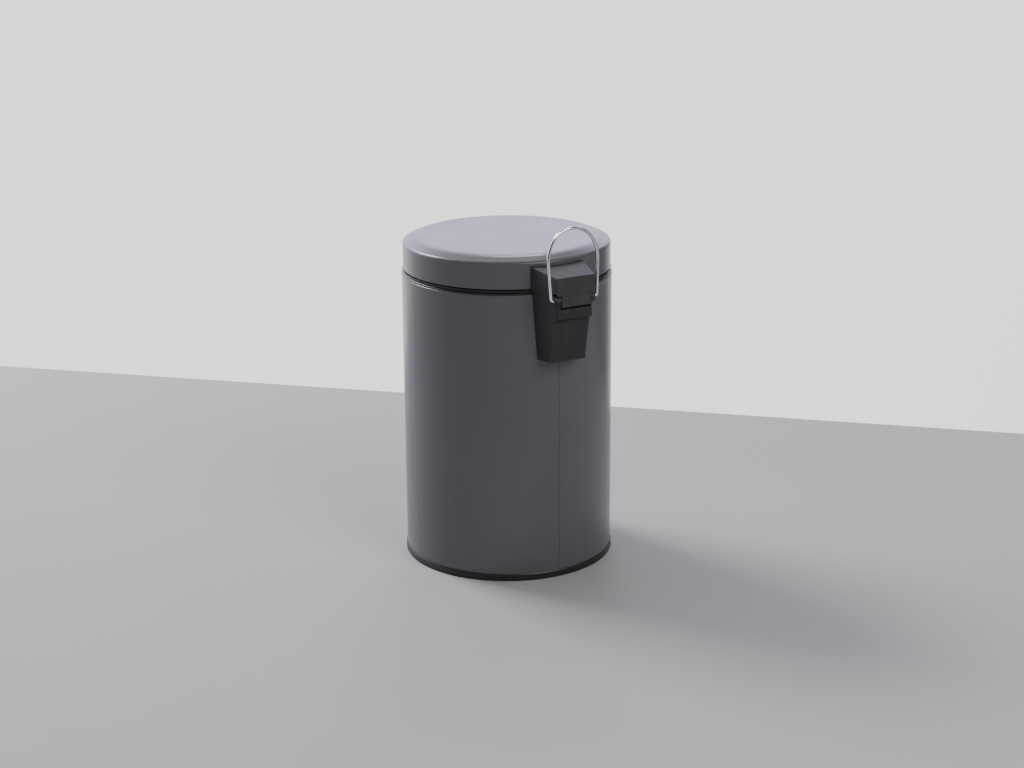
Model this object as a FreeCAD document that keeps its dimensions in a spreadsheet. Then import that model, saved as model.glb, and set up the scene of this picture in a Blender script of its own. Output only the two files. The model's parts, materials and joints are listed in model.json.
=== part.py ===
import FreeCAD, Part
import math
import os
import re

import Sketcher

# Small round pedal bin. Origin on the floor on the drum's axis, +Z up.
# The hinge box is on the +Y side and the pedal on the -Y side. Millimetres.

VEC = FreeCAD.Vector

# Driving dimensions, written into the sheet. Angles are in degrees.
SIZES = {
    # drum and lid
    "body_radius": 85.0,
    "sheet_gauge": 0.5,
    "shell_foot": 2.0,
    "shell_top": 236.4,
    "hem_width": 1.8,
    "hem_proud": 0.2,
    "seam_width": 0.7,
    "seam_depth": 0.2,
    "lid_gap": 4.6,
    "lid_height": 24.9,
    "lid_inset": 1.1,
    "lid_hem": 2.0,
    "lid_edge_round": 2.5,
    "lid_shoulder": 10.4,
    "lid_shoulder_drop": 4.0,
    "lid_crown_round": 18.0,
    # base
    "ring_height": 5.8,
    "ring_proud": 0.8,
    "ring_chamfer": 0.6,
    "ring_play": 0.05,
    "pan_play": 0.2,
    "pan_wall": 2.0,
    "pan_floor": 25.0,
    # collar between drum and lid
    "collar_wall": 1.5,
    "collar_skirt": 8.0,
    "collar_play": 0.3,
    "collar_rise": 7.1,
    "flange_thick": 1.1,
    "collar_groove": 0.7,
    "lid_play": 0.8,
    "seat_width": 5.6,
    # hinge
    "hinge_out": 22.5,
    "pin_radius": 1.5,
    "pin_play": 0.08,
    "pin_half": 15.2,
    "ear_radius": 3.7,
    "ear_inner": 13.3,
    "ear_thick": 3.9,
    "notch_play": 1.8,
    "tongue_play": 0.4,
    "tongue_reach": 4.1,
    "tongue_drop": 5.2,
    "tongue_thick": 2.6,
    "tongue_root": 1.5,
    "tongue_lead": 0.9,
    "tongue_waist": 2.4,
    "joint_gap": 0.3,
    # hinge box outline
    "box_back_half": 22.9,
    "box_front_half": 16.7,
    "box_back_in": 3.0,
    "box_front_over": 2.9,
    "box_wall": 2.0,
    "box_round": 0.7,
    "bracket_front_top": 17.9,
    "bracket_slope": 4.5,
    "bracket_bottom": 2.5,
    "bracket_lean": 0.8,
    "bracket_back_wall": 3.0,
    "housing_drop": 51.8,
    "housing_taper": 3.7,
    "band_out": 2.5,
    "band_top": 6.1,
    "band_bottom": 14.9,
    "band_overhang": 6.0,
    "band_slope": 3.6,
    "band_chamfer": 2.6,
    "band_side": 1.1,
    "shelf_drop": 0.8,
    "face_top_in": 4.7,
    "face_foot_in": 8.7,
    "web_depth": 9.0,
    "web_thick": 2.0,
    # fasteners
    "screw_radius": 1.4,
    "screw_play": 0.05,
    "screw_length": 10.0,
    "head_radius": 2.6,
    "head_height": 1.6,
    "plate_gauge": 0.8,
    "lid_screw_x": 11.0,
    "lid_screw_up": 8.5,
    "housing_screw_x": 15.4,
    "screw_drop_low": 40.0,
    "screw_drop_high": 12.0,
    "plate_border": 7.0,
    "plate_turn": 15.0,
    "lid_plate_border": 4.0,
    "lid_plate_turn": 12.0,
    # lift rod and cam
    "cam_radius": 9.0,
    "cam_start": 0.5,
    "cam_thick": 5.0,
    "cam_tip": 0.9,
    "cam_heel": 2.5,
    "lid_opening": 75.0,
    "rod_radius": 1.25,
    "rod_play": 0.1,
    "rod_gap": 0.15,
    "rod_inset": 6.0,
    "rod_foot": 4.2,
    "jog_drop": 47.0,
    "jog_rise": 20.0,
    "jog_bend": 8.0,
    "cap_radius": 2.2,
    "cap_length": 7.0,
    "cap_end": 1.2,
    "guide_foot": 12.0,
    "guide_half": 6.0,
    "guide_turn": 9.0,
    # pedal
    "pedal_pivot_height": 14.0,
    "lever_rise": 3.0,
    "lever_gauge": 2.0,
    "lever_width": 16.0,
    "lever_tail_width": 10.0,
    "lever_front_rise": 6.5,
    "pivot_radius": 2.0,
    "lug_play": 2.3,
    "lug_thick": 3.0,
    "lug_half": 7.0,
    "tab_margin": 1.6,
    "clip_thick": 1.0,
    "clip_radius": 4.2,
    "nut_radius": 2.9,
    "nut_thick": 1.4,
    "nut_gap": 0.6,
    "pad_width": 44.0,
    "pad_depth": 23.6,
    "pad_thick": 7.0,
    "pad_corner": 6.0,
    "pad_sole": 1.7,
    "pad_skin": 2.2,
    "pad_edge_round": 1.5,
    "groove_width": 1.6,
    "groove_step": 4.0,
    "groove_depth": 0.8,
    "groove_margin": 7.0,
    "pad_screw_x": 5.0,
    "slot_play": 1.2,
    # carry handle
    "wire_radius": 1.25,
    "handle_half": 20.1,
    "handle_belly": 22.1,
    "handle_shoulder": 11.5,
    "handle_height": 54.7,
    "handle_belly_height": 37.5,
    "handle_belly_bend": 28.0,
    "handle_top_bend": 20.0,
    "handle_lean": 2.9,
    # bucket
    "bucket_taper": 8.9,
    "bucket_foot_round": 6.0,
    "bucket_play": 0.3,
    "bucket_wall": 1.5,
    "bucket_rim_inset": 1.6,
    "bucket_rim_wide": 3.4,
    "bucket_rim_thick": 1.6,
    "bail_radius": 1.2,
    "bail_lift": 1.6,
    "bail_inset": 3.0,
}

# Places worked out from the driving dimensions.
LINKS = {
    "shell_in": "(body_radius - sheet_gauge)",
    "hem_in": "(body_radius + hem_proud - hem_width)",
    "lid_radius": "(body_radius - lid_inset)",
    "lid_in": "(lid_radius - sheet_gauge)",
    "lid_bottom": "(shell_top + lid_gap)",
    "lid_top": "(lid_bottom + lid_height)",
    "lid_flat": "(lid_radius - lid_shoulder)",
    "lid_corner": "(lid_top - lid_shoulder_drop)",
    "axis_y": "(body_radius + hinge_out)",
    "axis_z": "shell_top",
    "housing_screw_low": "(axis_z - screw_drop_low)",
    "housing_screw_high": "(axis_z - screw_drop_high)",
    "jog_low": "(axis_z - jog_drop)",
    "guide_height": "((pan_floor + jog_low) / 2)",
    "joint_z": "(axis_z + bracket_bottom)",
    "housing_top": "(joint_z - joint_gap)",
    "housing_foot": "(axis_z - housing_drop)",
    "box_front": "(axis_y + box_front_over)",
    "box_back": "(body_radius - box_back_in)",
    "box_narrowing": "((box_back_half - box_front_half) / (box_front - box_back))",
    "reach": "(axis_y + tongue_reach)",
    "tongue_half": "(ear_inner - tongue_play)",
    "band_half": "(tongue_half + band_side)",
    "shelf_z": "(axis_z - band_top - shelf_drop)",
    "notch_radius": "(ear_radius + notch_play)",
    "web_top": "(axis_z - web_depth)",
    "pan_in": "(shell_in - pan_play - pan_wall)",
    "pan_out": "(shell_in - pan_play)",
    "floor_top": "(pan_floor + pan_wall)",
    "collar_out": "(hem_in - collar_play)",
    "seat_top": "(shell_top + ring_play)",
    "groove_top": "(seat_top + flange_thick + 2 * collar_groove)",
    "ridge_low": "(groove_top + collar_play)",
    "ridge_top": "(ridge_low + collar_groove)",
    "seat_in": "(collar_out - seat_width)",
    "bucket_rim_under": "(seat_top + bucket_play)",
    "bucket_rim_top": "(bucket_rim_under + bucket_rim_thick)",
    "bucket_out": "(seat_in - bucket_rim_inset)",
    "bucket_foot_radius": "(bucket_out - bucket_taper)",
    "bail_z": "(bucket_rim_top + bail_lift)",
    "bail_reach": "(bucket_out + bail_inset - bail_radius)",
    "bail_bend": "(bail_reach - bail_radius * 3)",
    "rod_y": "(body_radius - rod_inset)",
    "lift_y": "(axis_y - cam_radius)",
    "rod_top": "(axis_z + cam_start - rod_gap)",
    "lift": "(cam_radius * lid_opening * pi / 180)",
    "jog_slope": "(jog_rise / (lift_y - rod_y))",
    "jog_half": "(rod_radius * sqrt(1 + jog_slope ^ 2))",
    "tail_z": "(pedal_pivot_height - lift / 2)",
    "lever_z": "(pedal_pivot_height + lever_rise)",
    "lever_front_z": "(pedal_pivot_height + lever_front_rise)",
    "tail_end": "(pan_in - slot_play)",
    "pad_back": "(reach - pad_depth)",
    "pad_under": "(lever_front_z - lever_gauge / 2 - pad_sole)",
    "lug_in": "(lever_width / 2 + lug_play)",
}


def start_document():
    """Make the document and write the driving dimensions into its sheet."""
    document = FreeCAD.newDocument("PedalBin")
    table = document.addObject("Spreadsheet::Sheet", "Sizes")
    for row, (name, size) in enumerate(SIZES.items(), 1):
        table.set(f"A{row}", name)
        table.set(f"B{row}", str(size))
        table.setAlias(f"B{row}", name)
    document.recompute()
    return document, table


doc, sheet = start_document()


def tied(text):
    """Expression text with every size named in it tied to its cell."""
    def swap(match):
        word = match[0]
        if word in LINKS:
            return tied(LINKS[word])
        return "Sizes." + word if word in SIZES else word
    return re.sub(r"[a-z]\w*", swap, text)


def value(text):
    """The number that an expression has now."""
    return float(sheet.evalExpression(tied(text)))


def bind(thing, prop, text):
    thing.setExpression(prop, tied(text))


# ---------------------------------------------------------------- sketches

def sketch_on(body, name, role, shift="0"):
    """An empty sketch on one of the body's own origin planes, moved along its normal."""
    sketch = body.newObject("Sketcher::SketchObject", name)
    plane = [part for part in body.Origin.OriginFeatures if part.Role == role][0]
    sketch.AttachmentSupport = [(plane, "")]
    sketch.MapMode = "FlatFace"
    bind(sketch, "AttachmentOffset.Base.z", shift)
    return sketch


def add_outline(sketch, corners):
    """Close a straight-sided outline whose corners are pairs of expressions."""
    places = [VEC(value(u), value(v), 0) for u, v in corners]
    first = sketch.GeometryCount
    count = len(corners)
    for index in range(count):
        line = Part.LineSegment(places[index], places[(index + 1) % count])
        sketch.addGeometry(line, False)
    for index in range(count):
        following = first + (index + 1) % count
        sketch.addConstraint(Sketcher.Constraint("Coincident", first + index, 2, following, 1))
    for index, corner in enumerate(corners):
        pin_point(sketch, first + index, 1, corner, places[index])


def pin_point(sketch, geometry, end, corner, place):
    """Hold a point at its two expressions, measured from the sketch's origin."""
    for kind, text, number in (("DistanceX", corner[0], place.x), ("DistanceY", corner[1], place.y)):
        index = sketch.addConstraint(Sketcher.Constraint(kind, -1, 1, geometry, end, number))
        bind(sketch, f"Constraints[{index}]", text)


def add_circle(sketch, centre, radius):
    place = VEC(value(centre[0]), value(centre[1]), 0)
    circle = Part.Circle(place, VEC(0, 0, 1), value(radius))
    geometry = sketch.addGeometry(circle, False)
    pin_point(sketch, geometry, 3, centre, place)
    index = sketch.addConstraint(Sketcher.Constraint("Radius", geometry, value(radius)))
    bind(sketch, f"Constraints[{index}]", radius)


def outline(body, name, role, *loops, shift="0"):
    """A sketch of one or more loops. A loop is a list of corners or a (centre, radius) pair."""
    sketch = sketch_on(body, name, role, shift)
    for loop in loops:
        if isinstance(loop, tuple):
            add_circle(sketch, *loop)
        else:
            add_outline(sketch, loop)
    doc.recompute()
    return sketch


# ---------------------------------------------------------------- features

def new_body(label):
    body = doc.addObject("PartDesign::Body", label)
    body.Label = label
    return body


def pad(body, sketch, length, both_ways=False, reverse=False):
    feature = body.newObject("PartDesign::Pad", sketch.Name + "_pad")
    feature.Profile = sketch
    bind(feature, "Length", length)
    feature.SideType = "Symmetric" if both_ways else "One side"
    feature.Reversed = reverse
    doc.recompute()
    return feature


def pocket(body, sketch, length=None, both_ways=False, reverse=False):
    """Cut a sketch's outline away, and stop if the cut misses the solid."""
    before = body.Shape.Volume
    feature = body.newObject("PartDesign::Pocket", sketch.Name + "_cut")
    feature.Profile = sketch
    if length is None:
        feature.Type = "ThroughAll"
    else:
        bind(feature, "Length", length)
    feature.SideType = "Symmetric" if both_ways else "One side"
    feature.Reversed = reverse
    doc.recompute()
    if body.Shape.Volume >= before - 1e-6:
        raise ValueError(f"{feature.Name} cuts nothing")
    return feature


def revolve(body, sketch, angle="360"):
    """Turn a sketch about the vertical axis, centred on the sketch when not a full turn."""
    feature = body.newObject("PartDesign::Revolution", sketch.Name + "_turn")
    feature.Profile = sketch
    feature.ReferenceAxis = (sketch, ["V_Axis"])
    bind(feature, "Angle", angle)
    feature.Midplane = angle != "360"
    doc.recompute()
    return feature


def fillet(body, name, radius, wanted):
    """Round the tip's edges that a test on their middle point and length picks out."""
    base = body.Tip
    names = [f"Edge{i}" for i, edge in enumerate(base.Shape.Edges, 1) if wanted(edge)]
    if not names:
        raise ValueError(f"{name} finds no edge")
    feature = body.newObject("PartDesign::Fillet", name)
    feature.Base = (base, names)
    bind(feature, "Radius", radius)
    doc.recompute()
    return feature


def is_rim(edge, radius, height):
    """True for a level round edge of that radius at that height."""
    curve = edge.Curve
    if not isinstance(curve, Part.Circle):
        return False
    return abs(curve.Radius - radius) < 1e-3 and abs(edge.BoundBox.ZMin - height) < 1e-3


def is_upright(edge):
    """True for a straight edge along Z."""
    box = edge.BoundBox
    return box.ZLength > 1 and box.XLength < 1e-3 and box.YLength < 1e-3


def is_outer_corner(edge, low, high):
    """True for a steep edge in front of the drum, between two heights."""
    box = edge.BoundBox
    steep = box.ZLength > 5 and box.ZLength > 3 * max(box.XLength, box.YLength)
    between = box.ZMin > value(low) - 1 and box.ZMax < value(high) + 1
    return steep and between and box.YMin > value("body_radius + 8")


# ---------------------------------------------------------------- primitives

def cylinder(name, radius, length, base, axis):
    """A round bar from its base point along the given axis letter, + or -."""
    bar = doc.addObject("Part::Cylinder", name)
    bind(bar, "Radius", radius)
    bind(bar, "Height", length)
    direction = {"x": VEC(1, 0, 0), "y": VEC(0, 1, 0), "z": VEC(0, 0, 1)}[axis]
    bar.Placement = FreeCAD.Placement(VEC(), FreeCAD.Rotation(VEC(0, 0, 1), direction))
    for letter, text in zip("xyz", base):
        bind(bar, f"Placement.Base.{letter}", text)
    return bar


def cut(name, base, tool):
    result = doc.addObject("Part::Cut", name)
    result.Base = base
    result.Tool = tool
    return result


def fuse(name, first, second):
    result = doc.addObject("Part::Fuse", name)
    result.Base = first
    result.Tool = second
    return result


def group(label, things):
    """Several alike solids as one sub-part."""
    result = doc.addObject("Part::Compound", label)
    result.Links = things
    result.Label = label
    return result


def ring(name, inner, outer, length, base, axis):
    """A washer made of two round bars. The hole runs right through."""
    return cut(name, cylinder(name + "_rim", outer, length, base, axis),
               cylinder(name + "_hole", inner, length, base, axis))


def pan_screw(name, x, y, z):
    """A screw along +Y whose head bears at y."""
    head = cylinder(name + "_head", "head_radius", "head_height", (x, f"{y} - head_height", z), "y")
    shank = cylinder(name + "_shank", "screw_radius", "screw_length", (x, y, z), "y")
    return fuse(name, head, shank)


def bent_path(points, radii):
    """A wire of straight runs through the points, with tangent arcs at the inner ones."""
    edges = []
    start = points[0]
    for before, corner, after, radius in zip(points, points[1:], points[2:], radii):
        arrive = (corner - before).normalize()
        leave = (after - corner).normalize()
        half_turn = arrive.getAngle(leave) / 2
        setback = radius * math.tan(half_turn)
        first = corner - arrive * setback
        last = corner + leave * setback
        inward = (leave - arrive).normalize()
        middle = corner + inward * (radius / math.cos(half_turn) - radius)
        edges.append(Part.LineSegment(start, first).toShape())
        edges.append(Part.Arc(first, middle, last).toShape())
        start = last
    edges.append(Part.LineSegment(start, points[-1]).toShape())
    return Part.Wire(edges)


def bent_wire(label, points, radii, radius):
    """A round wire along a bent path. Part primitives have no such sweep with arcs."""
    path = bent_path(points, radii)
    along = points[1] - points[0]
    section = Part.Wire(Part.Circle(points[0], along, radius).toShape())
    wire = doc.addObject("Part::Feature", label)
    wire.Shape = path.makePipeShell([section], True, False)
    wire.Placement = FreeCAD.Placement()
    wire.Label = label
    return wire


# ---------------------------------------------------------------- drum

def make_outer_shell():
    """Rolled sheet drum with a hem at the top, a seam at the back and its cut-outs."""
    body = new_body("outer_shell")
    profile = outline(body, "shell_profile", "XZ_Plane", [
        ("shell_in", "shell_foot"),
        ("body_radius", "shell_foot"),
        ("body_radius", "shell_top - hem_width - sheet_gauge"),
        ("body_radius + hem_proud", "shell_top - hem_width"),
        ("body_radius + hem_proud", "shell_top"),
        ("hem_in", "shell_top"),
        ("hem_in", "shell_top - hem_width"),
        ("shell_in", "shell_top - hem_width - sheet_gauge"),
    ])
    revolve(body, profile)
    fillet(body, "hem_round", "hem_width * 0.45", lambda edge: any(
        is_rim(edge, value(radius), value("shell_top"))
        for radius in ("body_radius + hem_proud", "hem_in")))
    seam = outline(body, "seam", "XY_Plane", [
        ("-seam_width / 2", "body_radius - seam_depth"),
        ("seam_width / 2", "body_radius - seam_depth"),
        ("seam_width / 2", "body_radius + 1"),
        ("-seam_width / 2", "body_radius + 1"),
    ], shift="shell_foot")
    pocket(body, seam, "housing_top - shell_foot - hem_width * 3", reverse=True)
    lever_slot = outline(body, "lever_slot", "XZ_Plane", lever_gap("ring_height + collar_play"))
    pocket(body, lever_slot, reverse=True)
    pocket(body, outline(body, "shell_rod_slot", "XZ_Plane", rod_gap_outline(), *housing_screw_holes()))
    return body


def lever_gap(bottom):
    """Outline of the opening that the pedal lever moves in, seen from the front."""
    half = "lever_width / 2 + slot_play"
    top = "lever_front_z + lever_gauge / 2 + slot_play"
    return [(f"-({half})", bottom), (half, bottom), (half, top), (f"-({half})", top)]


def rod_gap_outline():
    """Outline of the slot that the rod's jog passes through, over its whole travel."""
    half = "rod_radius + slot_play"
    low = "jog_low + (shell_in - plate_gauge - rod_y) * jog_slope - jog_half - slot_play"
    high = "jog_low + (body_radius + box_wall - rod_y) * jog_slope + jog_half + slot_play + lift"
    return [(f"-({half})", low), (half, low), (half, high), (f"-({half})", high)]


def housing_screw_places():
    """The four screws of the housing, as x and z expressions."""
    heights = ("housing_screw_low", "housing_screw_high")
    return [(side + "housing_screw_x", height) for height in heights for side in ("-", "")]


def housing_screw_holes():
    return [(place, "screw_radius + screw_play") for place in housing_screw_places()]


def lid_screw_places():
    height = "lid_bottom + lid_screw_up"
    return [(side + "lid_screw_x", height) for side in ("-", "")]


def lid_screw_holes():
    return [(place, "screw_radius + screw_play") for place in lid_screw_places()]


def make_top_collar():
    """Plastic ring pressed into the drum. It seats the bucket and guides the lid."""
    body = new_body("top_collar")
    profile = outline(body, "collar_profile", "XZ_Plane", [
        ("seat_in", "seat_top - collar_wall"),
        ("collar_out - collar_wall", "seat_top - collar_wall"),
        ("collar_out - collar_wall", "seat_top - collar_skirt"),
        ("collar_out", "seat_top - collar_skirt"),
        ("collar_out", "seat_top"),
        ("body_radius - collar_play", "seat_top"),
        ("body_radius - collar_play", "seat_top + flange_thick"),
        ("lid_radius - collar_play", "seat_top + flange_thick + collar_groove"),
        ("lid_radius - collar_play", "groove_top"),
        ("shell_in", "ridge_low"),
        ("shell_in", "ridge_top"),
        ("lid_in - lid_play", "ridge_top + collar_play"),
        ("lid_in - lid_play", "seat_top + collar_rise"),
        ("lid_in - lid_play - collar_wall", "seat_top + collar_rise"),
        ("lid_in - lid_play - collar_wall", "seat_top"),
        ("seat_in", "seat_top"),
    ])
    revolve(body, profile)
    return body


def make_base_pan():
    """Plastic base: a ring on the floor, a wall inside the drum, a raised floor and two lugs."""
    body = new_body("base_pan")
    profile = outline(body, "pan_profile", "XZ_Plane", [
        ("0", "pan_floor"),
        ("pan_in", "pan_floor"),
        ("pan_in", "0"),
        ("body_radius + ring_proud - ring_chamfer", "0"),
        ("body_radius + ring_proud", "ring_chamfer"),
        ("body_radius + ring_proud", "ring_height - ring_chamfer"),
        ("body_radius + ring_proud - ring_chamfer / 2", "ring_height"),
        ("body_radius + ring_play", "ring_height"),
        ("body_radius + ring_play", "shell_foot"),
        ("pan_out", "shell_foot"),
        ("pan_out", "floor_top"),
        ("0", "floor_top"),
    ])
    revolve(body, profile)
    for side, reverse in (("", False), ("-", True)):
        lug = outline(body, "lug" + ("_left" if reverse else "_right"), "YZ_Plane", [
            ("-lug_half", "pan_floor + pan_wall / 2"),
            ("lug_half", "pan_floor + pan_wall / 2"),
            ("clip_radius", "pedal_pivot_height - clip_radius"),
            ("-clip_radius", "pedal_pivot_height - clip_radius"),
        ], shift=side + "lug_in")
        pad(body, lug, "lug_thick", reverse=reverse)
    pin_hole = outline(body, "pin_hole", "YZ_Plane", (("0", "pedal_pivot_height"), "pivot_radius + pin_play"))
    pocket(body, pin_hole, "(lug_in + lug_thick) * 2 + 2", both_ways=True)
    pocket(body, outline(body, "pan_lever_slot", "XZ_Plane", lever_gap("ring_height")), reverse=True)
    rod_hole = outline(body, "rod_hole", "XY_Plane", (("0", "rod_y"), "rod_radius + collar_play"))
    pocket(body, rod_hole, both_ways=True)
    return body


def make_rod_guide():
    """Steel angle on the drum's inner wall with a hole that keeps the rod upright."""
    body = new_body("rod_guide")
    foot = outline(body, "guide_foot", "YZ_Plane", [
        ("shell_in - plate_gauge", "guide_height - guide_foot"),
        ("shell_in", "guide_height - guide_foot"),
        ("shell_in", "guide_height + plate_gauge"),
        ("shell_in - plate_gauge", "guide_height + plate_gauge"),
    ])
    revolve(body, foot, angle="guide_turn")
    tab = outline(body, "guide_tab", "XY_Plane", [
        ("-guide_half", "rod_y - guide_half / 2"),
        ("guide_half", "rod_y - guide_half / 2"),
        ("guide_half", "shell_in - plate_gauge"),
        ("-guide_half", "shell_in - plate_gauge"),
    ], shift="guide_height")
    pad(body, tab, "plate_gauge")
    hole = outline(body, "guide_hole", "XY_Plane", (("0", "rod_y"), "rod_radius + rod_play"))
    pocket(body, hole, both_ways=True)
    return body


def box_half(y, less="0"):
    """Half the hinge box's width at y, less an amount."""
    return f"(box_front_half + (box_front - ({y})) * box_narrowing - ({less}))"


def section(y_back, y_front, less):
    """Plan outline of the hinge box between two distances."""
    return [
        ("-" + box_half(y_back, less), y_back),
        (box_half(y_back, less), y_back),
        (box_half(y_front, less), y_front),
        ("-" + box_half(y_front, less), y_front),
    ]


def make_hinge_housing():
    """Fixed half of the hinge box: a tapered box open at the top, with two ears for the pin."""
    body = new_body("hinge_housing")
    back, front = "(box_back - box_wall)", "(reach + 1)"
    low = outline(body, "housing_low", "XY_Plane", section(back, front, "housing_taper + joint_gap"),
                  shift="housing_foot")
    high = outline(body, "housing_high", "XY_Plane", section(back, front, "joint_gap"), shift="housing_top")
    block = body.newObject("PartDesign::AdditiveLoft", "housing_block")
    block.Profile = low
    block.Sections = [high]
    block.Ruled = True
    doc.recompute()

    face = outline(body, "housing_face", "YZ_Plane", [
        ("axis_y - face_foot_in", "housing_foot - 1"),
        ("axis_y - face_foot_in", "housing_foot + 1"),
        ("axis_y - face_top_in", "axis_z - band_bottom - band_slope"),
        ("axis_y - face_top_in + band_overhang", "axis_z - band_bottom"),
        ("axis_y + band_out", "axis_z - band_top"),
        ("axis_y + ear_radius * 0.9", "axis_z"),
        ("axis_y", "housing_top + 1"),
        ("reach + 3", "housing_top + 1"),
        ("reach + 3", "housing_foot - 1"),
    ])
    pocket(body, face, both_ways=True)
    corners = outline(body, "band_corners", "XY_Plane", *[[
        (side + "band_half", "reach + 1"),
        (side + "band_half", "axis_y + band_out"),
        (side + "(band_half + band_chamfer)", "axis_y + band_out - band_chamfer"),
        (side + "box_back_half", "axis_y + band_out - band_chamfer"),
        (side + "box_back_half", "reach + 1"),
    ] for side in ("", "-")], shift="axis_z - band_bottom - band_slope")
    pocket(body, corners, "band_bottom + band_slope - ear_radius", reverse=True)

    fillet(body, "housing_round", "box_round",
           lambda edge: is_outer_corner(edge, "housing_foot", "axis_z - band_bottom"))

    inside = outline(body, "housing_inside", "YZ_Plane", [
        ("body_radius + box_wall", "housing_foot + box_wall"),
        ("axis_y - face_foot_in - box_wall", "housing_foot + box_wall"),
        ("axis_y - face_top_in - box_wall", "axis_z - band_bottom - band_slope"),
        ("axis_y - box_wall", "axis_z - band_bottom + box_wall"),
        ("axis_y + band_out - box_wall", "shelf_z"),
        ("reach + 3", "shelf_z"),
        ("reach + 3", "axis_z + 10"),
        ("body_radius + box_wall", "axis_z + 10"),
    ])
    pocket(body, inside, "ear_inner * 2", both_ways=True)

    web = outline(body, "guide_web", "XY_Plane", [
        ("-ear_inner - 0.5", "body_radius + box_wall / 2"),
        ("ear_inner + 0.5", "body_radius + box_wall / 2"),
        ("ear_inner + 0.5", "axis_y + band_out - box_wall"),
        ("-ear_inner - 0.5", "axis_y + band_out - box_wall"),
    ], shift="web_top - web_thick")
    pad(body, web, "web_thick")
    web_hole = outline(body, "web_hole", "XY_Plane", (("0", "lift_y"), "rod_radius + rod_play"),
                       shift="web_top - web_thick - 1")
    pocket(body, web_hole, "web_thick + 2", reverse=True)

    for side, reverse in (("", False), ("-", True)):
        name = "left" if reverse else "right"
        ear = outline(body, "ear_" + name, "YZ_Plane", (("axis_y", "axis_z"), "ear_radius"),
                      shift=side + "ear_inner")
        pad(body, ear, "ear_thick", reverse=reverse)
    inner_hole = outline(body, "ear_pin_hole", "YZ_Plane", (("axis_y", "axis_z"), "pin_radius + pin_play"))
    pocket(body, inner_hole, "(pin_half + 0.1) * 2", both_ways=True)
    outer_hole = outline(body, "ear_wire_hole", "YZ_Plane", (("axis_y", "axis_z"), "wire_radius + pin_play"))
    pocket(body, outer_hole, both_ways=True)

    holes = outline(body, "housing_holes", "XZ_Plane", *housing_screw_holes())
    pocket(body, holes, "body_radius + screw_length - box_wall")
    drum = outline(body, "housing_seat", "XY_Plane", (("0", "0"), "body_radius + ring_play"))
    pocket(body, drum, both_ways=True)
    hem = outline(body, "housing_hem_room", "XY_Plane", (("0", "0"), "body_radius + hem_proud + ring_play"),
                  shift="shell_top - hem_width - sheet_gauge - ring_play")
    pocket(body, hem, "lid_gap", reverse=True)
    slot = outline(body, "housing_slot", "XZ_Plane", rod_gap_outline())
    pocket(body, slot, "body_radius + box_wall + joint_gap")
    return body


def backplate(label, radius, low, high, half_angle, *holes):
    """A curved steel plate against a round wall, with holes cut along Y."""
    body = new_body(label)
    profile = outline(body, label + "_profile", "YZ_Plane", [
        (f"{radius} - plate_gauge", low),
        (radius, low),
        (radius, high),
        (f"{radius} - plate_gauge", high),
    ])
    revolve(body, profile, angle=f"2 * {half_angle}")
    pocket(body, outline(body, label + "_holes", "XZ_Plane", *holes))
    return body


def bearing(radius, x):
    """Distance along Y at which a screw head at x clears a curved plate's inner face."""
    return f"sqrt(({radius} - plate_gauge) ^ 2 - ({x} + head_radius) ^ 2)"


def make_housing_fasteners():
    backplate("housing_backplate", "shell_in", "housing_screw_low - plate_border",
              "housing_screw_high + plate_border", "plate_turn",
              rod_gap_outline(), *housing_screw_holes())
    y = bearing("shell_in", "housing_screw_x")
    group("housing_screws", [pan_screw(f"housing_screw_{i}", x, y, z)
                             for i, (x, z) in enumerate(housing_screw_places(), 1)])


def make_hinge_pin():
    pin = cylinder("hinge_pin", "pin_radius", "pin_half * 2", ("-pin_half", "axis_y", "axis_z"), "x")
    pin.Label = "hinge_pin"


# ---------------------------------------------------------------- lid

def make_lid_shell():
    """Drawn sheet lid with a flat top, a sloping shoulder, a rounded edge and a hemmed skirt."""
    body = new_body("lid_shell")
    hem = "sheet_gauge * 1.6"
    profile = outline(body, "lid_profile", "XZ_Plane", [
        ("0", "lid_top - sheet_gauge"),
        ("lid_flat", "lid_top - sheet_gauge"),
        ("lid_in", "lid_corner - sheet_gauge"),
        ("lid_in", "lid_bottom + lid_hem"),
        (f"lid_radius - {hem}", "lid_bottom + lid_hem"),
        (f"lid_radius - {hem}", "lid_bottom"),
        ("lid_radius", "lid_bottom"),
        ("lid_radius", "lid_corner"),
        ("lid_flat", "lid_top"),
        ("0", "lid_top"),
    ])
    revolve(body, profile)
    rims = [("lid_outer_round", "lid_edge_round", "lid_radius", "lid_corner"),
            ("lid_inner_round", "lid_edge_round - sheet_gauge", "lid_in", "lid_corner - sheet_gauge"),
            ("crown_outer_round", "lid_crown_round", "lid_flat", "lid_top"),
            ("crown_inner_round", "lid_crown_round - sheet_gauge", "lid_flat", "lid_top - sheet_gauge")]
    for name, rounding, radius, height in rims:
        fillet(body, name, rounding, lambda edge: is_rim(edge, value(radius), value(height)))
    pocket(body, outline(body, "lid_holes", "XZ_Plane", *lid_screw_holes()))
    return body


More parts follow.
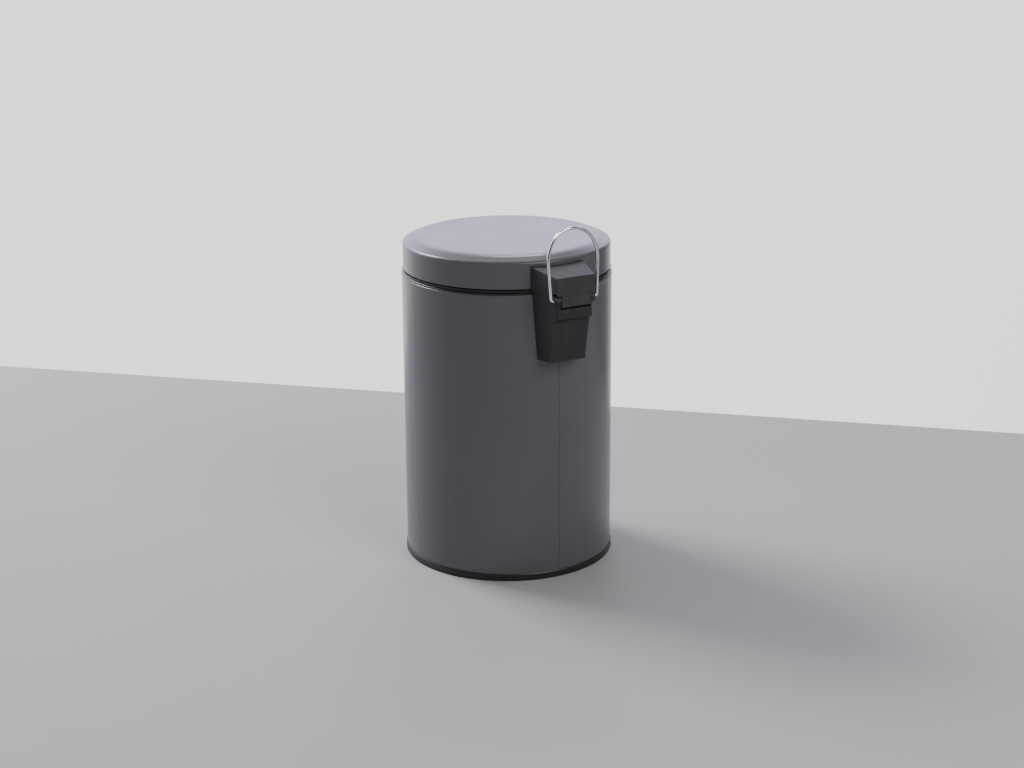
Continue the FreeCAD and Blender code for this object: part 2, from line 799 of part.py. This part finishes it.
def make_bracket_moulding():
    """Upper half of the hinge box: a hollow block on the lid with a tongue for the pin."""
    body = new_body("bracket_moulding")
    side = outline(body, "bracket_side", "YZ_Plane", [
        ("box_back - 2", "joint_z"),
        ("box_front + bracket_lean", "joint_z"),
        ("box_front", "axis_z + bracket_front_top"),
        ("box_back - 2", "axis_z + bracket_front_top + bracket_slope"),
    ])
    pad(body, side, "box_back_half * 2 + 6", both_ways=True)
    back, front = "(box_back - 3)", "(reach + 2)"
    flanks = outline(body, "bracket_flanks", "XY_Plane", *[[
        (side_sign + box_half(back), back),
        (side_sign + "(box_back_half + 8)", back),
        (side_sign + "(box_back_half + 8)", front),
        (side_sign + box_half(front), front),
    ] for side_sign in ("", "-")])
    pocket(body, flanks, both_ways=True)
    roof = value("axis_z + bracket_front_top - 0.1")
    fillet(body, "bracket_round", "box_round",
           lambda edge: edge.BoundBox.ZMin > roof or is_outer_corner(edge, "joint_z", "lid_top"))
    hollow = outline(body, "bracket_hollow", "XY_Plane",
                     section("(lid_radius + bracket_back_wall)", "(box_front - box_wall)", "box_wall"),
                     shift="joint_z - 1")
    pocket(body, hollow, "axis_z + bracket_front_top - box_wall - joint_z + 1", reverse=True)

    tongue = outline(body, "tongue", "YZ_Plane", [
        ("axis_y - ear_radius + tongue_lead", "joint_z + tongue_root"),
        ("axis_y - ear_radius", "axis_z"),
        ("axis_y - ear_radius + tongue_lead", "axis_z - tongue_waist"),
        ("axis_y + tongue_reach - tongue_thick - tongue_lead", "axis_z - tongue_waist * 1.5"),
        ("axis_y + tongue_reach - tongue_thick", "axis_z - tongue_drop"),
        ("reach - tongue_lead / 2", "axis_z - tongue_drop"),
        ("reach", "axis_z - tongue_drop + tongue_lead"),
        ("box_front + bracket_lean", "joint_z + tongue_root"),
    ])
    pad(body, tongue, "tongue_half * 2", both_ways=True)
    for sign, reverse in (("", False), ("-", True)):
        name = "left" if reverse else "right"
        notch = outline(body, "notch_" + name, "YZ_Plane", (("axis_y", "axis_z"), "notch_radius"),
                        shift=sign + "tongue_half")
        pocket(body, notch, "box_back_half", reverse=not reverse)
    bosses = outline(body, "bracket_bosses", "XZ_Plane",
                     *[(place, "screw_radius + box_wall") for place in lid_screw_places()],
                     shift="-(lid_radius - bracket_back_wall)")
    pad(body, bosses, "screw_length + 2", reverse=True)
    holes = outline(body, "bracket_holes", "XZ_Plane", *lid_screw_holes())
    pocket(body, holes, "lid_radius + screw_length - box_wall / 2")
    hinge_hole = outline(body, "tongue_hole", "YZ_Plane", (("axis_y", "axis_z"), "pin_radius + pin_play"))
    pocket(body, hinge_hole, both_ways=True)
    lid_seat = outline(body, "bracket_seat", "XY_Plane", (("0", "0"), "lid_radius + ring_play"))
    pocket(body, lid_seat, both_ways=True)
    collar_room = outline(body, "collar_room", "XY_Plane", (("0", "0"), "body_radius + collar_play"),
                          shift="lid_bottom - 0.2")
    pocket(body, collar_room, "lid_gap")
    return body


def involute(turn):
    """Cam point, seen from the hinge axis, that is over the rod once the lid has turned so far."""
    radius = value("cam_radius")
    rise = value("cam_start") + radius * turn
    return (-radius * math.cos(turn) - rise * math.sin(turn),
            -radius * math.sin(turn) + rise * math.cos(turn))


def make_lift_cam():
    """Rib in the bracket whose involute edge lifts evenly with the lid's angle."""
    opening = math.radians(value("lid_opening"))
    steps = 12
    run = [involute(opening * step / steps) for step in range(steps + 1)]
    half = value("cam_thick") / 2
    hinge = VEC(-half, value("axis_y"), value("axis_z"))
    roof = value("bracket_front_top - box_wall / 2")
    start, end = run[0], run[-1]
    curve = Part.BSplineCurve()
    curve.interpolate([hinge + VEC(0, y, z) for y, z in run])
    tip, heel = value("cam_tip"), value("cam_heel")
    back = [end, (end[0] - tip, end[1] + tip / 3), (end[0] - tip, roof - heel * 1.4),
            (end[0] + tip * 4 / 3, roof), (start[0] + heel * 1.4, roof), (start[0] + heel, start[1] + heel),
            (start[0] + heel * 0.72, start[1] + heel * 0.04), start]
    corners = [hinge + VEC(0, y, z) for y, z in back]
    edges = [curve.toShape()] + [Part.LineSegment(a, b).toShape() for a, b in zip(corners, corners[1:])]
    cam = doc.addObject("Part::Feature", "lift_cam")
    cam.Shape = Part.Face(Part.Wire(edges)).extrude(VEC(2 * half, 0, 0))
    cam.Placement = FreeCAD.Placement()
    return cam


def make_lid_bracket():
    bracket = fuse("lid_bracket", make_bracket_moulding(), make_lift_cam())
    bracket.Label = "lid_bracket"


def make_lid_fasteners():
    height = "lid_bottom + lid_screw_up"
    backplate("lid_backplate", "lid_in", f"{height} - lid_plate_border",
              f"{height} + lid_plate_border", "lid_plate_turn", *lid_screw_holes())
    y = bearing("lid_in", "lid_screw_x")
    group("lid_screws", [pan_screw(f"lid_screw_{i}", x, y, z)
                         for i, (x, z) in enumerate(lid_screw_places(), 1)])


# ---------------------------------------------------------------- carry handle

def make_carry_handle():
    """Bent wire loop whose turned-in ends sit in the ears, leaning a little over the lid."""
    lean = math.radians(value("handle_lean"))
    hinge = VEC(0, value("axis_y"), value("axis_z"))

    def place(x, up):
        return hinge + VEC(x, -up * math.sin(lean), up * math.cos(lean))

    half, belly, shoulder = value("handle_half"), value("handle_belly"), value("handle_shoulder")
    right = [place(value("pin_half + 0.2"), 0), place(half, 0),
             place(belly, value("handle_belly_height")), place(shoulder, value("handle_height"))]
    left = [VEC(-point.x, point.y, point.z) for point in reversed(right)]
    bends = [2 * value("wire_radius"), value("handle_belly_bend"), value("handle_top_bend")]
    bent_wire("carry_handle", right + left, bends + bends[::-1], value("wire_radius"))


# ---------------------------------------------------------------- push rod

def make_push_rod():
    """Steel rod from the pedal lever up to the cam, with a jog out through the drum's wall."""
    low, high = value("jog_low"), value("jog_low + jog_rise")
    inner, outer = value("rod_y"), value("lift_y")
    points = [VEC(0, inner, value("rod_foot")), VEC(0, inner, low), VEC(0, outer, high),
              VEC(0, outer, value("rod_top - cap_end"))]
    bend = value("jog_bend")
    bent_wire("push_rod", points, [bend, bend], value("rod_radius"))


def make_rod_cap():
    """Nylon cap on the rod's top, with a round nose for the cam."""
    body = new_body("rod_cap")
    profile = outline(body, "cap_profile", "XY_Plane", (("0", "lift_y"), "cap_radius"),
                      shift="rod_top - cap_length")
    pad(body, profile, "cap_length")
    nose = value("rod_top")
    fillet(body, "cap_nose", "cap_radius - 0.02", lambda edge: is_rim(edge, value("cap_radius"), nose))
    bore = outline(body, "cap_bore", "XY_Plane", (("0", "lift_y"), "rod_radius"),
                   shift="rod_top - cap_length")
    pocket(body, bore, "cap_length - cap_end", reverse=True)
    return body


def make_rod_push_nuts():
    """Push-on nuts above and below the lever's tail."""
    above = "tail_z + lever_gauge / 2 + nut_gap"
    below = "tail_z - lever_gauge / 2 - nut_gap - nut_thick"
    nuts = [ring(name, "rod_radius", "nut_radius", "nut_thick", ("0", "rod_y", height), "z")
            for name, height in (("nut_above", above), ("nut_below", below))]
    group("rod_push_nuts", nuts)


# ---------------------------------------------------------------- pedal

def make_pedal_lever():
    """Steel strip across the base with two side tabs for its pivot pin."""
    body = new_body("pedal_lever")
    half = "lever_gauge / 2"
    tail = f"(tail_z - (tail_end - rod_y) * (lever_z - tail_z) / rod_y)"
    knee = "body_radius * 0.7"
    front = "reach - box_wall"
    strip = outline(body, "strip", "YZ_Plane", [
        ("tail_end", f"{tail} - {half}"),
        ("tail_end", f"{tail} + {half}"),
        ("0", f"lever_z + {half}"),
        (f"-{knee}", f"lever_front_z + {half}"),
        (f"-({front})", f"lever_front_z + {half}"),
        (f"-({front})", f"lever_front_z - {half}"),
        (f"-{knee}", f"lever_front_z - {half}"),
        ("0", f"lever_z - {half}"),
    ])
    pad(body, strip, "lever_width", both_ways=True)
    flanks = outline(body, "lever_flanks", "XY_Plane", *[[
        (side + "(lever_width / 2 + 1)", "tail_end * 0.4"),
        (side + "(lever_width / 2 + 1)", "tail_end + 1"),
        (side + "lever_tail_width / 2", "tail_end + 1"),
        (side + "lever_tail_width / 2", "tail_end * 0.6"),
    ] for side in ("", "-")])
    pocket(body, flanks, both_ways=True)
    for sign, reverse in (("", False), ("-", True)):
        tab = outline(body, "tab" + ("_left" if reverse else "_right"), "YZ_Plane", [
            ("-lug_half", "lever_z"),
            ("lug_half", "lever_z"),
            ("pivot_radius + tab_margin", "pedal_pivot_height - pivot_radius - tab_margin"),
            ("-pivot_radius - tab_margin", "pedal_pivot_height - pivot_radius - tab_margin"),
        ], shift=sign + "(lever_width / 2 - lever_gauge)")
        pad(body, tab, "lever_gauge", reverse=reverse)
    hole = outline(body, "lever_hole", "YZ_Plane", (("0", "pedal_pivot_height"), "pivot_radius + pin_play"))
    pocket(body, hole, both_ways=True)
    tail_hole = outline(body, "tail_hole", "XY_Plane", (("0", "rod_y"), "rod_radius + 0.4"),
                        *[((x, y), "screw_radius + screw_play") for x, y in pad_screw_places()])
    pocket(body, tail_hole, both_ways=True)
    return body


def pad_screw_places():
    """The pad's two screws, as x and y expressions."""
    return [(side + "pad_screw_x", "-(pad_back + pad_depth / 2)") for side in ("", "-")]


def make_pedal_pad():
    """Moulded foot pad over the lever's front end, with grip grooves on top."""
    body = new_body("pedal_pad")
    half = "pad_width / 2"
    plan = outline(body, "pad_plan", "XY_Plane", [
        (f"-{half}", "-reach"), (half, "-reach"), (half, "-pad_back"), (f"-{half}", "-pad_back"),
    ], shift="pad_under")
    pad(body, plan, "pad_thick")
    fillet(body, "pad_corners", "pad_corner", is_upright)
    top = value("pad_under + pad_thick")
    fillet(body, "pad_edge", "pad_edge_round", lambda edge: edge.BoundBox.ZMin > top - 1e-3)
    run = "pad_width / 2 - groove_margin"
    grooves = outline(body, "grooves", "XY_Plane", *[[
        (f"-({run})", f"{step} * groove_step - reach"),
        (run, f"{step} * groove_step - reach"),
        (run, f"{step} * groove_step + groove_width - reach"),
        (f"-({run})", f"{step} * groove_step + groove_width - reach"),
    ] for step in (1, 2, 3, 4)], shift="pad_under + pad_thick - groove_depth")
    pocket(body, grooves, "pad_thick", reverse=True)
    sleeve_half = "(lever_width / 2 + screw_play)"
    sleeve = outline(body, "sleeve", "XZ_Plane", [
        (f"-{sleeve_half}", "lever_front_z - lever_gauge / 2"),
        (sleeve_half, "lever_front_z - lever_gauge / 2"),
        (sleeve_half, "lever_front_z + lever_gauge / 2"),
        (f"-{sleeve_half}", "lever_front_z + lever_gauge / 2"),
    ], shift="reach - box_wall")
    pocket(body, sleeve, "pad_depth")
    shanks = outline(body, "pad_holes", "XY_Plane",
                     *[(place, "screw_radius + screw_play") for place in pad_screw_places()],
                     shift="pad_under - 1")
    pocket(body, shanks, "pad_thick", reverse=True)
    heads = outline(body, "pad_counterbores", "XY_Plane",
                    *[(place, "head_radius + screw_play") for place in pad_screw_places()],
                    shift="pad_under - 1")
    pocket(body, heads, "head_height / 2 + 1", reverse=True)
    return body


def make_pedal_screws():
    """Two short screws from below, through the lever into the pad."""
    screws = []
    for index, (x, y) in enumerate(pad_screw_places(), 1):
        head = cylinder(f"pad_screw_head_{index}", "head_radius", "head_height / 2", (x, y, "pad_under"), "z")
        shank = cylinder(f"pad_screw_shank_{index}", "screw_radius", "pad_thick - pad_skin",
                         (x, y, "pad_under"), "z")
        screws.append(fuse(f"pad_screw_{index}", head, shank))
    group("pedal_screws", screws)


def make_pivot():
    """The lever's pin, held in the base's lugs by a clip at each end."""
    half = "(lug_in + lug_thick + clip_thick + 1)"
    pin = cylinder("pivot_pin", "pivot_radius", f"2 * {half}", (f"-{half}", "0", "pedal_pivot_height"), "x")
    pin.Label = "pivot_pin"
    starts = ("lug_in + lug_thick", "-(lug_in + lug_thick + clip_thick)")
    clips = [ring(f"pivot_clip_{index}", "pivot_radius", "clip_radius", "clip_thick",
                  (x, "0", "pedal_pivot_height"), "x") for index, x in enumerate(starts, 1)]
    group("pivot_clips", clips)


# ---------------------------------------------------------------- bucket

def make_inner_bucket():
    """Tapered plastic bucket with a rim that hangs on the collar's seat."""
    body = new_body("inner_bucket")
    foot = "(floor_top + bucket_play + 1)"
    profile = outline(body, "bucket_profile", "XZ_Plane", [
        ("0", foot),
        ("bucket_foot_radius", foot),
        ("bucket_out", "bucket_rim_under"),
        ("bucket_out + bucket_rim_wide", "bucket_rim_under"),
        ("bucket_out + bucket_rim_wide", "bucket_rim_top"),
        ("bucket_out - bucket_wall", "bucket_rim_top"),
        ("bucket_foot_radius - bucket_wall", f"{foot} + bucket_wall"),
        ("0", f"{foot} + bucket_wall"),
    ])
    revolve(body, profile)
    fillet(body, "bucket_foot_round", "bucket_foot_round",
           lambda edge: is_rim(edge, value("bucket_foot_radius"), value(foot)))
    fillet(body, "bucket_inner_round", "bucket_foot_round - bucket_wall / 2",
           lambda edge: is_rim(edge, value("bucket_foot_radius - bucket_wall"),
                               value(f"{foot} + bucket_wall")))
    for sign, reverse in (("", False), ("-", True)):
        lug = outline(body, "bail_lug" + ("_left" if reverse else "_right"), "YZ_Plane", [
            ("-5", "bucket_rim_top - 5"), ("5", "bucket_rim_top - 5"),
            ("3", "bail_z + bail_radius + 2"), ("-3", "bail_z + bail_radius + 2"),
        ], shift=sign + "(bucket_out - bucket_wall - 1.2)")
        pad(body, lug, "bucket_wall + 0.2", reverse=reverse)
    hole = outline(body, "bail_hole", "YZ_Plane", (("0", "bail_z"), "bail_radius + pin_play"))
    pocket(body, hole, both_ways=True)
    return body


def make_bucket_bail():
    """Wire bail lying on the bucket's rim, on the pedal side."""
    z = value("bail_z")
    reach, bend = value("bail_reach"), value("bail_bend")
    start = value("bucket_out - bucket_wall - 2.4")
    right = [VEC(start, 0, z), VEC(reach, 0, z), VEC(reach, -bend - 3, z)]
    left = [VEC(-point.x, point.y, point.z) for point in reversed(right)]
    corner = 1.8 * value("bail_radius")
    bent_wire("bucket_bail", right + left, [corner, bend, bend, corner], value("bail_radius"))


# ---------------------------------------------------------------- build and write

NODES = [
    "outer_shell", "top_collar", "base_pan", "rod_guide", "hinge_housing", "housing_backplate",
    "housing_screws", "hinge_pin", "pivot_pin", "pivot_clips", "lid_shell", "lid_bracket",
    "lid_backplate", "lid_screws", "carry_handle", "push_rod", "rod_cap", "rod_push_nuts",
    "pedal_lever", "pedal_pad", "pedal_screws", "inner_bucket", "bucket_bail",
]


def build_all():
    make_outer_shell()
    make_top_collar()
    make_base_pan()
    make_rod_guide()
    make_hinge_housing()
    make_housing_fasteners()
    make_hinge_pin()
    make_lid_shell()
    make_lid_bracket()
    make_lid_fasteners()
    make_carry_handle()
    make_push_rod()
    make_rod_cap()
    make_rod_push_nuts()
    make_pedal_lever()
    make_pedal_pad()
    make_pedal_screws()
    make_pivot()
    make_inner_bucket()
    make_bucket_bail()
    doc.recompute()


def check_document():
    """Stop on any failed object, and on a sub-part without a sound shape."""
    for thing in doc.Objects:
        if "Invalid" in thing.State or "Error" in thing.State:
            raise ValueError(f"{thing.Name} failed: {thing.State}")
    for label in NODES:
        shape = doc.getObjectsByLabel(label)[0].Shape
        if shape.isNull() or not shape.isValid() or not shape.Solids:
            raise ValueError(f"{label} has no sound shape")


def write_parts():
    os.makedirs("parts", exist_ok=True)
    for label in NODES:
        doc.getObjectsByLabel(label)[0].Shape.exportStep(f"parts/{label}.step")


build_all()
check_document()
write_parts()
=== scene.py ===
import json
import math

import bpy
from mathutils import Matrix, Vector

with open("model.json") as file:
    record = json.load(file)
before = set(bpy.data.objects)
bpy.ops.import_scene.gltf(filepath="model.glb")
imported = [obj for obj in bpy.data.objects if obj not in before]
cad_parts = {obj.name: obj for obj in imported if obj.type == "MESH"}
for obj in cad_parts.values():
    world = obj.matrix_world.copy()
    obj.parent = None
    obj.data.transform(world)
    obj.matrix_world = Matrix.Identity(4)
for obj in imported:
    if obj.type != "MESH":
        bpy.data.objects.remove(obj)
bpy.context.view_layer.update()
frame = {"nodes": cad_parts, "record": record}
NODES = frame["nodes"]
RECORD = frame["record"]

# The camera stands behind the bin and to its side, a little above it.
CAMERA_PLACE = (0.755, 1.390, 0.6225)
CAMERA_DOWN = math.radians(16.977)
CAMERA_HEADING = math.radians(151.36)
CAMERA_ROLL = -0.007
CAMERA_LENS = 70.6
SENSOR = 36.0

# Level directions away from the camera and to its right.
VIEW = (-math.sin(CAMERA_HEADING), math.cos(CAMERA_HEADING), 0.0)
SIDE = (VIEW[1], -VIEW[0], 0.0)

# Where the floor ends behind the bin, and how far it runs the other ways.
FLOOR_EDGE = ((-0.001, -0.528, 0.0), (-0.379, -0.183, 0.0))
FLOOR_REACH = 12.0

# What the lights point at.
BIN_MIDDLE = (0.0, 0.0, 0.14)

# The surround is brightest a little to the left of straight behind the bin.
BRIGHT_WAY = (VIEW[0] * 0.87 - SIDE[0] * 0.5, VIEW[1] * 0.87 - SIDE[1] * 0.5, 0.0)

WALL_SHADE = (1.75, 1.75, 1.74)
SKY_SHADE = (2.5, 2.28, 3.35)
ROOM_SHADE = (0.17, 0.17, 0.17)
CEILING_SHADE = (0.24, 0.24, 0.25)


# ------------------------------------------------------------ node helpers

class Shader:
    """A material being wired: one principled shader and the nodes that feed it."""

    def __init__(self, name):
        self.material = bpy.data.materials.new(name)
        self.material.use_nodes = True
        self.tree = self.material.node_tree
        self.main = self.tree.nodes["Principled BSDF"]
        self.place = self.add("ShaderNodeTexCoord").outputs["Object"]

    def add(self, kind, **settings):
        node = self.tree.nodes.new(kind)
        for key, setting in settings.items():
            setattr(node, key, setting)
        return node

    def feed(self, source, target):
        self.tree.links.new(source, target)

    def set(self, **sockets):
        """Constant values on the shader's own sockets. Underscores stand for spaces."""
        for key, number in sockets.items():
            self.main.inputs[key.replace("_", " ")].default_value = number

    def stretched(self, scale):
        """Object coordinates in metres, scaled per axis."""
        mapping = self.add("ShaderNodeMapping")
        mapping.inputs["Scale"].default_value = scale
        self.feed(self.place, mapping.inputs["Vector"])
        return mapping.outputs["Vector"]

    def noise(self, scale, detail=3.0, roughness=0.5, vector=None):
        node = self.add("ShaderNodeTexNoise")
        node.inputs["Scale"].default_value = scale
        node.inputs["Detail"].default_value = detail
        node.inputs["Roughness"].default_value = roughness
        self.feed(vector or self.place, node.inputs["Vector"])
        return node.outputs["Fac"]

    def remap(self, source, low, high, new_low, new_high):
        node = self.add("ShaderNodeMapRange")
        keys = ("From Min", "From Max", "To Min", "To Max")
        for key, number in zip(keys, (low, high, new_low, new_high)):
            node.inputs[key].default_value = number
        self.feed(source, node.inputs["Value"])
        return node.outputs["Result"]

    def blend(self, factor, first, second):
        """A colour between two, by a factor. Each is a colour or a socket."""
        node = self.add("ShaderNodeMix", data_type="RGBA")
        self.feed(factor, node.inputs["Factor"])
        for socket, colour in ((node.inputs["A"], first), (node.inputs["B"], second)):
            if isinstance(colour, tuple):
                socket.default_value = (*colour, 1.0)
            else:
                self.feed(colour, socket)
        return node.outputs["Result"]

    def bump(self, height, strength, distance, normal=None):
        node = self.add("ShaderNodeBump")
        node.inputs["Strength"].default_value = strength
        node.inputs["Distance"].default_value = distance
        self.feed(height, node.inputs["Height"])
        if normal is not None:
            self.feed(normal, node.inputs["Normal"])
        return node.outputs["Normal"]

    def finish(self, colour, roughness, normal):
        self.feed(colour, self.main.inputs["Base Color"])
        self.feed(roughness, self.main.inputs["Roughness"])
        self.feed(normal, self.main.inputs["Normal"])
        return self.material


# ------------------------------------------------------------ materials

def powder_coat():
    """Semi-gloss anthracite powder coat: fine orange peel, faint flecks, soft smudges."""
    made = Shader("powder_coat")
    made.set(Metallic=0.0, Coat_Weight=0.22, Coat_Roughness=0.16, IOR=1.46)
    cloud = made.remap(made.noise(9.0, detail=4.0), 0.3, 0.7, 0.0, 1.0)
    fleck = made.noise(2600.0, detail=1.0)
    tone = made.blend(cloud, (0.086, 0.085, 0.094), (0.098, 0.097, 0.106))
    tone = made.blend(made.remap(fleck, 0.62, 0.74, 0.0, 0.35), tone, (0.13, 0.13, 0.14))
    gloss = made.remap(made.noise(26.0, detail=5.0), 0.3, 0.7, 0.30, 0.38)
    peel = made.bump(made.noise(520.0, detail=2.0), 0.08, 0.00012)
    grain = made.bump(fleck, 0.05, 0.0001, peel)
    return made.finish(tone, gloss, grain)


def moulded_plastic(name, dark, light, gloss, grain_scale, grain_depth, index=1.50):
    """Black moulded plastic: spark-eroded grain, paler handling scuffs, uneven sheen."""
    made = Shader(name)
    made.set(IOR=index)
    scuff = made.noise(70.0, detail=6.0, roughness=0.65)
    tone = made.blend(made.remap(scuff, 0.5, 0.75, 0.0, 1.0), dark, light)
    sheen = made.remap(made.noise(35.0, detail=4.0), 0.3, 0.7, gloss - 0.05, gloss + 0.07)
    grain = made.bump(made.noise(grain_scale, detail=2.0), 0.35, grain_depth)
    flow = made.noise(12.0, detail=2.0, vector=made.stretched((1.0, 1.0, 4.0)))
    return made.finish(tone, sheen, made.bump(flow, 0.1, 0.0004, grain))


def chrome():
    """Bright chrome on drawn wire: near-mirror, with faint die lines and wipe marks."""
    made = Shader("chrome")
    made.set(Metallic=1.0)
    smear = made.noise(90.0, detail=4.0)
    tone = made.blend(smear, (0.74, 0.745, 0.755), (0.84, 0.845, 0.85))
    gloss = made.remap(smear, 0.3, 0.75, 0.05, 0.13)
    lines = made.noise(1.0, detail=2.0, vector=made.stretched((700.0, 700.0, 40.0)))
    return made.finish(tone, gloss, made.bump(lines, 0.02, 0.00001))


def zinc_steel():
    """Zinc-plated steel: cloudy plating, rolled grain and a few dull spots."""
    made = Shader("zinc_steel")
    made.set(Metallic=1.0)
    cloud = made.noise(160.0, detail=5.0)
    spots = made.noise(45.0, detail=6.0, roughness=0.7)
    tone = made.blend(cloud, (0.52, 0.52, 0.51), (0.66, 0.66, 0.64))
    tone = made.blend(made.remap(spots, 0.6, 0.72, 0.0, 0.6), tone, (0.36, 0.34, 0.31))
    gloss = made.remap(cloud, 0.3, 0.7, 0.26, 0.42)
    grain = made.noise(1.0, detail=2.0, vector=made.stretched((2200.0, 120.0, 2200.0)))
    return made.finish(tone, gloss, made.bump(grain, 0.12, 0.0001))


def nylon():
    """Natural nylon: warm white, waxy, with a fine moulded skin."""
    made = Shader("white_nylon")
    made.set(Subsurface_Weight=0.15, Subsurface_Scale=0.002, IOR=1.53)
    cloud = made.noise(300.0, detail=3.0)
    tone = made.blend(cloud, (0.70, 0.68, 0.62), (0.80, 0.79, 0.74))
    gloss = made.remap(cloud, 0.3, 0.7, 0.35, 0.5)
    return made.finish(tone, gloss, made.bump(made.noise(2000.0), 0.2, 0.00005))


def floor_paint():
    """Pale matt studio floor with the faintest clouding."""
    made = Shader("studio_floor")
    made.set(IOR=1.30)
    cloud = made.noise(2.2, detail=8.0, roughness=0.6)
    tone = made.blend(cloud, (0.38, 0.38, 0.375), (0.46, 0.46, 0.45))
    gloss = made.remap(cloud, 0.3, 0.7, 0.75, 0.9)
    return made.finish(tone, gloss, made.bump(made.noise(180.0, detail=5.0), 0.15, 0.0004))


def paint_nodes():
    """Give every CAD node the finish of its material slot."""
    finishes = {
        "body_paint": powder_coat(),
        "black_plastic": moulded_plastic("black_plastic", (0.012, 0.012, 0.014), (0.02, 0.02, 0.022),
                                         0.36, 1800.0, 0.00006),
        "box_plastic": moulded_plastic("box_plastic", (0.016, 0.016, 0.019), (0.028, 0.028, 0.031),
                                       0.50, 2600.0, 0.00012),
        # The lid bracket's paler copy of the box plastic is painted light: its lighter colour stands in
        # for the extra light that falls on its upward-slanting front face.
        "bracket_plastic": moulded_plastic("bracket_plastic", (0.040, 0.040, 0.043), (0.056, 0.056, 0.059),
                                           0.60, 2600.0, 0.00012, index=1.36),
        "bucket_plastic": moulded_plastic("bucket_plastic", (0.025, 0.025, 0.028), (0.036, 0.036, 0.039),
                                          0.42, 1500.0, 0.00008),
        "white_nylon": nylon(),
        "zinc_steel": zinc_steel(),
        "handle_chrome": chrome(),
    }
    for row in RECORD["subparts"]:
        mesh = NODES[row["node"]].data
        mesh.materials.clear()
        mesh.materials.append(finishes[row["material_slot"]])


# ------------------------------------------------------------ stage

def make_stage():
    """A pale floor that ends behind the bin, so the pale surround stands over it like a wall."""
    first, second = Vector(FLOOR_EDGE[0]), Vector(FLOOR_EDGE[1])
    middle = (first + second) / 2
    along = (second - first).normalized() * FLOOR_REACH
    forward = Vector((along.y, -along.x, 0.0)) * 2
    corners = [middle - along, middle + along, middle + along + forward, middle - along + forward]
    mesh = bpy.data.meshes.new("studio_floor")
    mesh.from_pydata(corners, [], [(0, 1, 2, 3)])
    mesh.materials.append(floor_paint())
    floor = bpy.data.objects.new("studio_floor", mesh)
    bpy.context.scene.collection.objects.link(floor)


def area_light(name, offset, size, power, shade=(1.0, 1.0, 1.0)):
    """A rectangle aimed at the bin's middle, offset from it to the side, away and up."""
    across, away, up = offset
    reach = Vector(SIDE) * across + Vector(VIEW) * away + Vector((0.0, 0.0, up))
    light = bpy.data.lights.new(name, "AREA")
    light.shape = "RECTANGLE"
    light.size, light.size_y = size
    light.energy = power
    light.color = shade
    thing = bpy.data.objects.new(name, light)
    thing.location = Vector(BIN_MIDDLE) + reach
    thing.rotation_euler = (-reach).to_track_quat("-Z", "Y").to_euler()
    bpy.context.scene.collection.objects.link(thing)


def surround():
    """A studio surround by direction: pale behind the bin, lilac above that, dim round the camera."""
    world = bpy.data.worlds.new("studio")
    world.use_nodes = True
    tree = world.node_tree
    backdrop = tree.nodes["Background"]
    place = tree.nodes.new("ShaderNodeTexCoord")

    def link(source, target):
        tree.links.new(source, target)

    def along(direction):
        node = tree.nodes.new("ShaderNodeVectorMath")
        node.operation = "DOT_PRODUCT"
        link(place.outputs["Generated"], node.inputs[0])
        node.inputs[1].default_value = direction
        return node.outputs["Value"]

    def rise(source, low, high):
        node = tree.nodes.new("ShaderNodeMapRange")
        node.interpolation_type = "SMOOTHSTEP"
        node.inputs["From Min"].default_value = low
        node.inputs["From Max"].default_value = high
        link(source, node.inputs["Value"])
        return node.outputs["Result"]

    def mix(factor, first, second):
        node = tree.nodes.new("ShaderNodeMix")
        node.data_type = "RGBA"
        link(factor, node.inputs["Factor"])
        for socket, colour in ((node.inputs["A"], first), (node.inputs["B"], second)):
            if isinstance(colour, tuple):
                socket.default_value = (*colour, 1.0)
            else:
                link(colour, socket)
        return node.outputs["Result"]

    height = along((0.0, 0.0, 1.0))
    back = mix(rise(height, 0.02, 0.22), WALL_SHADE, SKY_SHADE)
    around = mix(rise(along(BRIGHT_WAY), 0.25, 0.74), ROOM_SHADE, back)
    link(mix(rise(height, 0.42, 0.70), around, CEILING_SHADE), backdrop.inputs["Color"])
    backdrop.inputs["Strength"].default_value = 1.0
    bpy.context.scene.world = world


def make_lights():
    """A window behind on the left, a fill beside the camera, and weak lights right and behind."""
    area_light("window", (-1.40, 1.13, 1.6), (0.9, 0.7), 62.0)
    area_light("fill", (1.25, -1.5, 1.3), (1.3, 1.3), 27.0)
    area_light("strip", (1.2, 0.25, 1.25), (0.3, 0.4), 1.2)
    area_light("crown", (0.1, 1.7, 1.75), (0.5, 0.25), 7.0, (1.0, 0.97, 1.0))


def make_camera():
    lens = bpy.data.cameras.new("camera")
    lens.lens = CAMERA_LENS
    lens.sensor_width = SENSOR
    lens.sensor_fit = "HORIZONTAL"
    lens.clip_start = 0.01
    thing = bpy.data.objects.new("camera", lens)
    heading = Matrix.Rotation(CAMERA_HEADING, 4, "Z")
    pitch = Matrix.Rotation(math.pi / 2 - CAMERA_DOWN, 4, "X")
    roll = Matrix.Rotation(CAMERA_ROLL, 4, "Z")
    thing.matrix_world = Matrix.Translation(CAMERA_PLACE) @ heading @ pitch @ roll
    bpy.context.scene.collection.objects.link(thing)
    bpy.context.scene.camera = thing


paint_nodes()
make_camera()
make_stage()
make_lights()
surround()
